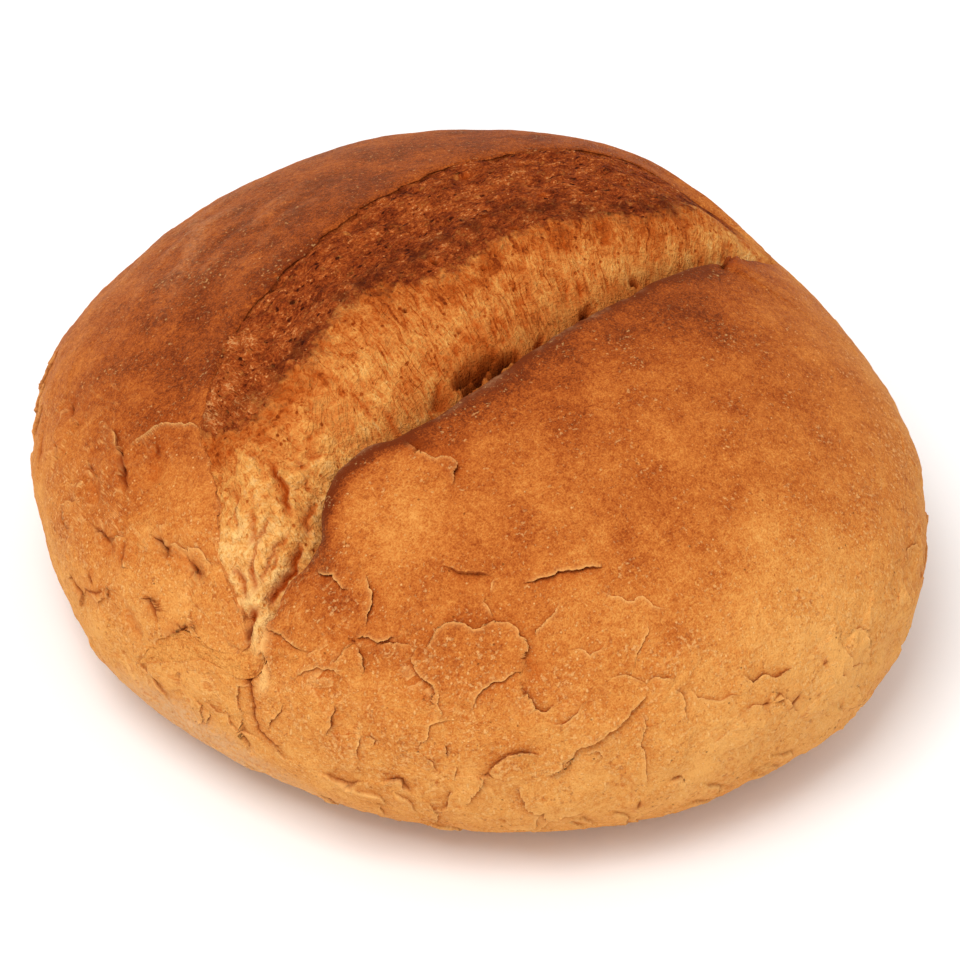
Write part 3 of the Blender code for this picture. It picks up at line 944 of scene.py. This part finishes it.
# ---- Torn dough ----
# The dough that swelled out of the slash in the oven and tore as it rose. Its near face stayed
# pale and shows the fibres of the crumb, and beyond the ridge it browned like a crust.

# Where the browned top of the torn dough begins, and the ridge where it is darkest, as x,y pixels.
TOAST_EDGE = (
    "215,432 232,424 250,412 266,392 292,370 320,332 345,298 380,284 420,274 455,262 480,246 520,226 "
    "560,216 600,211 650,208 700,204"
)
DARK_RIDGE = (
    "205,420 230,408 258,392 284,368 305,336 330,306 355,282 385,266 413,253 438,238 472,224 514,208 "
    "550,207 591,205 654,202 691,199 712,196"
)
# Folds of the torn dough, painted with orange shade in them: (half width, depth, x,y pixels along it).
FOLDS = (
    (0.9, 2.0, "262,458 272,466 278,480 282,494 286,506 288,520"),
    (0.6, 0.9, "288,528 278,542 268,556 262,572 264,590"),
    (0.6, 0.9, "270,512 265,524 256,536 246,548"),
    (0.5, 0.8, "262,530 254,545 250,560 252,575"),
    (0.6, 0.8, "280,545 272,562 266,580"),
    (0.5, 0.7, "232,480 236,498 232,515 240,530"),
    (0.5, 0.7, "302,470 306,490 318,500"),
    (0.8, 0.9, "243,459 255,457 262,459"),
    (1.0, 1.5, "318,498 309,511 304,525 301,540"),
    (1.0, 2.4, "306,540 296,552 290,562 281,576 272,588 262,612"),
    (1.4, 2.6, "262,606 252,618 248,630 250,645"),
    (1.6, 1.5, "226,607 230,613 236,622"),
    (1.1, 1.1, "232,560 238,575 243,590 247,605"),
    (1.0, 1.2, "243,556 249,572 254,588 257,600"),
    (0.9, 0.7, "246,505 252,520 249,540 243,552"),
    (0.9, 0.7, "300,453 308,457 320,450"),
    (0.9, 0.7, "288,461 298,463 312,462"),
    (1.1, 1.1, "382,405 388,418 394,432"),
    (0.8, 0.9, "352,392 366,408 378,424"),
    (0.6, 0.8, "487,298 498,320 512,348"),
    (0.6, 0.7, "452,292 470,318 488,342"),
    (0.8, 1.2, "425,432 430,414 436,398 446,382"),
    (0.5, 1.0, "456,404 463,393 470,381 478,371 487,362 497,361"),
    (0.5, 0.8, "497,361 505,366 516,362 526,352"),
    (0.5, 0.8, "482,338 487,349 497,354"),
    (0.5, 0.8, "446,382 455,374 463,376"),
    (0.7, 1.5, "571,274 576,273 580,282 582,300"),
    (0.6, 1.0, "568,278 568,290 570,302"),
)
# Holes in it, painted dark as their shade: (half width, depth, x,y pixels along it).
PITS = (
    (0.7, 2.2, "631,271 636,277 641,285"),
    (0.8, 1.8, "430,260 440,259"),
    (0.6, 1.3, "480,265 486,266"),
    (0.6, 1.3, "401,306 405,310"),
    (0.5, 1.0, "508,224 519,225"),
    (0.7, 1.2, "461,174 467,172"),
    (0.6, 1.2, "481,213 489,211"),
    (0.6, 1.2, "538,193 545,190"),
    (0.5, 0.9, "513,285 515,289"),
    (0.5, 0.9, "457,331 460,335"),
    (0.6, 1.0, "697,196 703,199"),
    (0.5, 1.4, "489,361 496,363"),
    (0.6, 1.4, "516,349 522,352"),
    (0.5, 1.0, "458,377 463,378"),
)
# Hollows that open under the lip, painted dark as their shade: (half width, depth, darkness of the painted
# shade, x,y places along it in plan, in mm).
HOLLOWS = (
    (1.0, 7.0, 1.0, "-27,-22.6 -23,-22.2 -18,-21.2 -12,-20.9 -8,-21.4 -2,-21.8"),
    (0.9, 3.5, 0.8, "-28,-21.6 -25,-19.8 -20,-18.8 -15,-19.4 -9,-19.6 -4,-20.6"),
    (0.6, 2.0, 0.5, "-23,-21 -21.5,-18.4 -21,-16.2"),
    (0.6, 2.0, 0.5, "-12,-20.5 -10,-18.2 -9.4,-16.4"),
    (2.0, 2.0, 0.5, "-27.5,-21 -23,-19.4 -18,-18.6 -13,-18.8 -8,-19.8"),
    (1.7, 2.2, 0.4, "-35,-24 -32,-20.6 -29.5,-21.4"),
    (0.9, 4.5, 1.0, "21,-20.8 26,-19.4 31,-18.6"),
    (0.6, 2.0, 0.6, "2,-21.5 5,-20.4 9,-20"),
)
CREAM_PATCH, CREAM_REACH = (310, 545), 3.0  # pixel in the middle of the palest dough, and its reach
TORN_ROWS = 262
LEAN = ((-60.0, 0.05), (-20.0, 0.2), (30.0, 0.45), (80.0, 0.65))  # of the fibres, along the loaf
TURN = (50.0, 84.0)  # over these distances to the left the fibres turn to run along the loaf
LUMPY_FROM = (48.0, 66.0)  # and over these the dough grows lumpy
CHAR_WIDTH = 4.5  # of the darkest line along the ridge
FOLD_JAGS, HOLLOW_JAGS = 0.12, 0.2  # how far their lines stray
UNDER_LIP, LIP_SHADE, FAR_FOOT = (7.4, 8.8), (8.6, 10.4), (18.2, 18.95)  # stations of painted shade under the lip, near it and at the far foot

torn_rows = even_rows(LIP_END, FAR_EDGE, TORN_ROWS)
torn_points = rings(burst_angles(torn_rows))
torn_ups = outward(torn_points)
x, y, z = np.moveaxis(torn_points, -1, 0)
steps = np.linalg.norm(np.diff(torn_points, axis=0), axis=-1)
across = np.vstack((np.zeros(COLUMNS + 1), np.cumsum(steps, axis=0)))
across -= across[np.argmin(np.abs(torn_rows - RIDGE_ROW))]
sway = 1.1 * lumps(torn_points, 7.0, 14.0) + 0.4 * lumps(torn_points, 2.5, 16.0)
turned = rise(-x, *TURN)
run = x + sum(TURN) / 2.0
fibre = np.stack((
    (1.0 - turned) * (run - through(LEAN, x) * across) - turned * across + sway,
    (1.0 - turned) * across + turned * run,
    np.zeros_like(x),
), axis=-1)


def line_height(pixels):
    """Distance of the torn dough's points beyond a line across them."""
    stations = sorted(tuple(line_under(pixel, 0.0)[0][:2]) for pixel in pixels.split())
    return y - through(stations, x)


ragged = 2.6 * lumps(torn_points, 9.0, 2.2) + 1.4 * lumps(torn_points, 3.0, 5.2)
beyond_toast, beyond_ridge = line_height(TOAST_EDGE), line_height(DARK_RIDGE)
toast = rise(x, -90.0, -82.0) * rise(beyond_toast + ragged, -8.0, 4.0)
char = toast * bell(beyond_ridge + ragged, CHAR_WIDTH) * (1.0 - 0.5 * rise(-x, 56.0, 80.0))
lumpy = rise(-x, *LUMPY_FROM)
pale_share = 1.0 - toast
strands = 0.5 * lumps(fibre, (1.7, 9.0, 1.0)) + 0.4 * lumps(fibre, (0.9, 4.5, 1.0), 8.3)
dents = rise(lumps(fibre, (1.5, 3.0, 1.0), 4.7) + 0.3 * lumps(torn_points, 2.0, 1.3), 0.25, 0.5)
crumbs = 0.5 * lumps(fibre, (4.0, 1.8, 1.0), 3.3) - 0.7 * np.abs(lumps(torn_points, 2.6, 6.6))
crumbs += 0.45 * lumps(torn_points, 1.3, 2.9) + 0.7 * lumps(torn_points, 6.0, 12.1)
pillows = 1.3 * np.abs(lumps(torn_points, 6.0, 9.1)) + 0.7 * np.abs(lumps(torn_points, 2.6, 5.1))
torn_lift = broad_form(torn_points) + burst_lift(torn_points, torn_rows)
torn_lift += strength * (1.3 * lumps(torn_points, 13.0) + 0.5 * lumps(torn_points, 5.0, 4.4))
torn_lift += strength * pale_share * (1.0 - lumpy) * (0.45 * strands - 0.6 * dents)
torn_lift += strength * toast * crumbs
torn_lift += lumpy * strength * (2.0 * pillows + 0.4 * lumps(torn_points, 1.3, 2.9))
fold, cave = np.zeros(x.size), np.zeros(x.size)
flat_points, flat_ups = torn_points.reshape(-1, 3), torn_ups.reshape(-1, 3)
# Each as (marks, steepness of its sides, half width, depth, darkness of its painted shade, line).
creases = [(fold, 2, width, depth, min(1.0, 0.4 + 0.3 * depth), line_under(pixels, FOLD_JAGS))
           for width, depth, pixels in FOLDS]
creases += [(cave, 2, width, depth, 0.9, line_under(pixels)) for width, depth, pixels in PITS]
for width, depth, dark, places in HOLLOWS:
    u, v = (np.array(path(places)) / (HALF_LENGTH, HALF_WIDTH)).T
    creases.append((cave, 4, width, depth, dark, jagged(smooth_loaf(u, v, True), HOLLOW_JAGS)))
for marks, steepness, width, depth, dark, line in creases:
    close = close_to(flat_points, line, 3.0 * width + 3.0)
    distance, _, _, taper = beside(flat_points[close], flat_ups[close], line)
    cut = taper * bell(distance, width, steepness)
    torn_lift.reshape(-1)[close] -= depth * cut
    deepen(marks, close, cut * dark)
fold, cave = fold.reshape(x.shape), cave.reshape(x.shape)


def bent(where, size, amount):
    """Coordinates pushed about by an amount, with bends of a size."""
    push = put(where.id_data, "TexNoise", Vector=where, Scale=1.0 / size, Detail=1.0)
    swung = put(where.id_data, "VectorMath", {"operation": "MULTIPLY_ADD"})
    for number, value in enumerate((push.outputs["Color"], (amount,) * 3, where)):
        feed(swung.inputs[number], value)
    return swung.outputs[0]


def threads(where, size, width, stretch):
    """Mask of thin winding lines round lumps of a size."""
    value = clouds(where, size, 1.0, 0.5, stretch)
    return between(worked("ABSOLUTE", worked("SUBTRACT", value, 0.5)), width, 0.0)


def cell_walls(where, spacing, width, stretch):
    """Mask of the thin walls between cells with a spacing."""
    cells = put(where.id_data, "TexVoronoi", {"feature": "DISTANCE_TO_EDGE"},
                Vector=stretched(where, stretch), Scale=1.0 / spacing)
    return between(cells.outputs["Distance"], width, 0.0)


torn, (where, along, toasting, tone, lumpiness), result = paint_group(
    "torn_crumb", Where="Vector", Fibres="Vector", Toasting="Float", Tone="Float", Lumpiness="Float")
along = bent(bent(along, 0.006, 0.0022), 0.0016, 0.0005)
patch = clouds(where, 0.007, 2.0, 0.6)
crumb = clouds(where, 0.0007, 2.0, 0.7)
curd = clouds(where, 0.0026, 3.0, 0.65)

# Pale crumb: fibres with long streaks of painted shade between them, the walls of small cells painted paler
# as a painted highlight, pits painted dark as their shade, and in the lumpy dough thin seams of painted
# shade.
strand = clouds(along, 0.0009, 3.0, 0.6, (1.0, 0.16, 1.0))
strandy = worked("SUBTRACT", 1.0, lumpiness)
streaky = between(clouds(along, 0.005, 1.0, 0.5, (1.0, 0.5, 1.0)), 0.42, 0.62)
shaded_streaks = product(product(threads(along, 0.0021, 0.06, (1.0, 0.14, 1.0)), streaky), strandy)
lit_loops = cell_walls(along, 0.0013, 0.11, (1.0, 0.34, 1.0))
lit_loops = product(lit_loops, product(strandy, between(patch, 0.42, 0.62)))
shaded_seams = threads(bent(where, 0.003, 0.002), 0.0034, 0.035, (1.0, 1.0, 1.0))
shaded_seams = product(shaded_seams, product(lumpiness, between(patch, 0.40, 0.55)))
small_shaded_pits = product(specks(along, 0.0011, 0.32, 0.3, (1.0, 0.7, 1.0)), 0.6)
shaded_pits = larger(specks(where, 0.0021, 0.30, 0.25), small_shaded_pits)
level = swing(curd, added(lumpiness, 0.2, 0.5), swing(patch, 0.5, 0.54))
level = swing(crumb, 0.5, swing(strand, product(strandy, 0.5), level))
for mask, amount in ((shaded_streaks, -0.26), (lit_loops, 0.14), (shaded_seams, -0.2), (shaded_pits, -0.30), (tone, -1.0)):
    level = added(mask, amount, level, clamp=mask is tone)
pale = ramp(level, (
    (0.05, (128, 50, 12)), (0.28, (180, 86, 28)), (0.46, (208, 122, 54)), (0.66, (228, 156, 78)),
    (0.90, (246, 194, 120)),
))

# Browned crumb: baked bits and thin threads that lie along the loaf, holes painted dark as their shade, and
# light dots.
bits = clouds(along, 0.0011, 3.0, 0.7, (0.4, 1.0, 1.0))
hair = threads(along, 0.0016, 0.05, (0.35, 1.0, 1.0))
small_shaded_holes = product(specks(along, 0.0011, 0.34, 0.22, (0.7, 1.0, 1.0)), 0.7)
shaded_holes = larger(specks(along, 0.0021, 0.30, 0.34, (0.6, 1.0, 1.0)), small_shaded_holes)
dots = specks(where, 0.0010, 0.36, 0.24)
level = 0.46
for value, amount in ((patch, 0.8), (curd, 0.7), (bits, 0.8), (crumb, 0.9)):
    level = swing(value, amount, level)
for mask, amount in ((hair, 0.18), (dots, 0.3), (tone, -1.0), (shaded_holes, -0.5)):
    level = added(mask, amount, level, clamp=mask is shaded_holes)
dark = ramp(level, (
    (0.08, (62, 20, 6)), (0.34, (112, 42, 14)), (0.54, (150, 66, 24)), (0.74, (182, 92, 38)),
    (0.97, (220, 152, 92)),
))
patchy = swing(crumb, 0.8, swing(curd, 2.4, toasting))
feed(result["Colour"], mixed(between(patchy, 0.2, 0.8), pale, dark))
height = added(curd, product(lumpiness, 2.0), added(strand, strandy, crumb))
height = added(larger(lit_loops, hair), 0.3, height)
feed(result["Height"], added(larger(shaded_pits, shaded_holes), -0.5, height))

# Painted shade near the lip and in folds, hollows and valleys, and near-black painted shadow in caves, pits
# and under the lip.
SHADE_COLOUR, HOLLOW_SHADE_COLOUR = (176, 100, 42), (184, 74, 12)
CHAR_COLOUR, CAVE_SHADOW_COLOUR = (66, 22, 8), (40, 13, 4)
torn_dough, tree, shader, where = new_material("torn_dough", 0.8)
toasting, charring, crusted, baking_shade_and_sheen, gap_shade, hollow, shade, tone, lumpiness = marked(
    tree, "toast", "char", "crusted", "baking_shade_and_sheen", "gap_shade", "hollow", "shade", "tone", "lumpy")
along = put(tree, "Attribute", {"attribute_name": "fibre"}).outputs["Vector"]
crumb_paint = put(tree, "Group", {"node_tree": torn}, Where=where, Fibres=along, Toasting=toasting,
                  Tone=tone, Lumpiness=lumpiness)
crust_paint = put(tree, "Group", {"node_tree": browned}, Where=where, Baking=baking_shade_and_sheen)
colour = mixed(shade, crumb_paint.outputs["Colour"], SHADE_COLOUR)
colour = mixed(hollow, colour, HOLLOW_SHADE_COLOUR)
colour = mixed(charring, colour, CHAR_COLOUR)
colour = mixed(crusted, colour, crust_paint.outputs["Colour"])
feed(shader["Base Color"], mixed(gap_shade, colour, CAVE_SHADOW_COLOUR))
roughened(shader, crumb_paint.outputs["Height"], 0.0009)

# Painted shade under the lip, at the far foot, in the caves, folds and valleys, and near the lip.
under_lip = (1.0 - rise(torn_rows, *UNDER_LIP))[:, None] * strength
far_foot = rise(torn_rows, *FAR_FOOT)[:, None] * toast
valley_shade = 0.35 * dents * (1.0 - lumpy) + 0.4 * lumpy * np.exp(-pillows / 0.14)
cream = around(torn_points, place_under(*CREAM_PATCH) - MIDDLE, CREAM_REACH)
tone = pale_share * (0.10 * rise(x, -80.0, -10.0) + 0.22 * rise(beyond_toast, -16.0, -2.0))
# The tops of the pillows are painted paler: a painted highlight.
lumpy_tone = 0.16 * rise(beyond_toast, -30.0, -12.0) - 0.03 - 0.14 * rise(-x, 88.0, 102.0) - 0.12 * pillows
tone += lumpy * lumpy_tone - 0.3 * cream
tone -= 0.05 * pale_share * rise(-x, 20.0, 50.0) + 0.22 * toast * rise(-x, 40.0, 76.0)
tone -= pale_share * (0.06 * rise(x, 30.0, 70.0) + 0.1 * rise(x, 74.0, 90.0))
deep_shade = np.maximum(cave**1.5, 0.25 * fold**4)
skin_pieces("torn_dough", torn_points + torn_ups * torn_lift[..., None], {
    "toast": toast,
    "char": 0.6 * char * rise(lumps(torn_points, 4.0, 17.0), -0.5, 0.3),
    "lumpy": lumpy,
    "crusted": np.broadcast_to(1.0 - rise(strength, 0.03, 0.22), x.shape),
    "baking_shade_and_sheen": baked(torn_points),
    "gap_shade": np.maximum(np.maximum(0.25 * far_foot, 0.75 * under_lip), deep_shade),
    "hollow": np.maximum(np.maximum(fold, cave**0.5), pale_share * valley_shade),
    "shade": 0.55 * (1.0 - rise(torn_rows, *LIP_SHADE))[:, None] * (1.0 - lumpy),
    "tone": tone,
    "fibre": fibre * MM,
}, torn_dough, tiles=2)

# ---- Far crust ----
# The browned skin beyond the burst. It tore along a thin edge that the dough lifted, browned more
# than the near side, and wrinkled softly down the left.
FAR_EDGE_ROWS, FAR_ROWS = 40, 120
WRINKLED, WRINKLED_REACH = (185, 235), 34.0  # pixel in the middle of the wrinkles, and their reach
WRINKLE_DEPTH, WRINKLE_SIZES, FINE_WRINKLE_SIZES = 0.9, (34.0, 6.0, 8.0), (14.0, 3.0, 4.0)
BORDER_FROM, BORDER_WIDTH = (84.0, 92.0), 1.2  # pale torn border: to the left of here, in stations
edge_rows = even_rows(FAR_EDGE, len(BURST_PROFILE) - 1.0, FAR_EDGE_ROWS)
edge_angles = burst_angles(edge_rows)
far_angles = edge_angles[-1] + (math.pi - edge_angles[-1]) * np.linspace(0.0, 1.0, FAR_ROWS + 1)[1:, None]
far_points = rings(np.vstack((edge_angles, far_angles)))
x, y, z = np.moveaxis(far_points, -1, 0)
round_it = np.stack((HALF_WIDTH * np.arctan2(y, x), np.hypot(x, y), z), axis=-1)
wrinkles = lumps(round_it, WRINKLE_SIZES, 2.0) + 0.5 * lumps(round_it, FINE_WRINKLE_SIZES, 6.0)
wrinkled = around(far_points, place_under(*WRINKLED) - MIDDLE, WRINKLED_REACH)
more_lift = WRINKLE_DEPTH * wrinkled * wrinkles
more_lift[:FAR_EDGE_ROWS] += burst_lift(far_points[:FAR_EDGE_ROWS], edge_rows)
far_skin, marks = crust_skin(far_points, more_lift)
# Painted sheen towards the far rim.
rim_sheen = rise(y, 50.0, 110.0) * rise(z, 20.0, 60.0)
torn_border = np.zeros_like(x)
torn_border[:FAR_EDGE_ROWS] = np.exp(-((edge_rows - FAR_EDGE) / BORDER_WIDTH))[:, None] * strength
# The wrinkled part is painted paler, most on the ridges of its wrinkles: a painted sheen.
marks["baking_shade_and_sheen"] -= wrinkled * (0.05 + 0.12 * wrinkles)
marks["rim"] = np.maximum(marks["rim"], 0.8 * rise(-x, *BORDER_FROM) * torn_border)
# On the far crust the flour mark is painted sheen: towards the far rim, and on the ridges of the wrinkles.
marks["flour_and_sheen"] = np.clip(0.09 * rim_sheen + 0.16 * wrinkled * rise(wrinkles, -0.2, 0.5), 0.0, 1.0)
skin_pieces("crust_far", far_skin, marks, crust)

# ---- Side and base ----
# The crust below the widest line, less browned, tucked in to the flat base that stood on the
# oven's floor and keeps some of its flour.
SIDE_ROWS, BASE_ROWS = 70, 22
LEFT_FOOT, FOOT_REACH = (190, 735), 45.0  # pixel where the flour reaches furthest up, and how far round
side_turn = math.acos(BASE_SHARE)
turns = np.concatenate((
    np.linspace(0.0, side_turn, SIDE_ROWS, endpoint=False),
    np.linspace(side_turn, math.pi - side_turn, BASE_ROWS, endpoint=False),
    np.linspace(math.pi - side_turn, math.pi, SIDE_ROWS + 1),
))
under_points = rings(turns[:, None] * np.ones(COLUMNS + 1), False)
height = under_points[..., 2]
under_skin, marks = crust_skin(under_points, lift_share=np.minimum(1.0, 2.0 * height / BELLY_HEIGHT))
under_skin[..., 2] = np.maximum(under_skin[..., 2], 0.0)
left_foot = around(under_points, place_under(*LEFT_FOOT) - MIDDLE, FOOT_REACH)
marks["baking_shade_and_sheen"] += 0.3 * (1.0 - rise(height, 0.0, 3.0))
marks["flour_and_sheen"] = (0.3 + 0.6 * left_foot) * (1.0 - rise(height - 28.0 * left_foot, 2.0, 18.0))
skin_pieces("crust_base", under_skin, marks, crust)
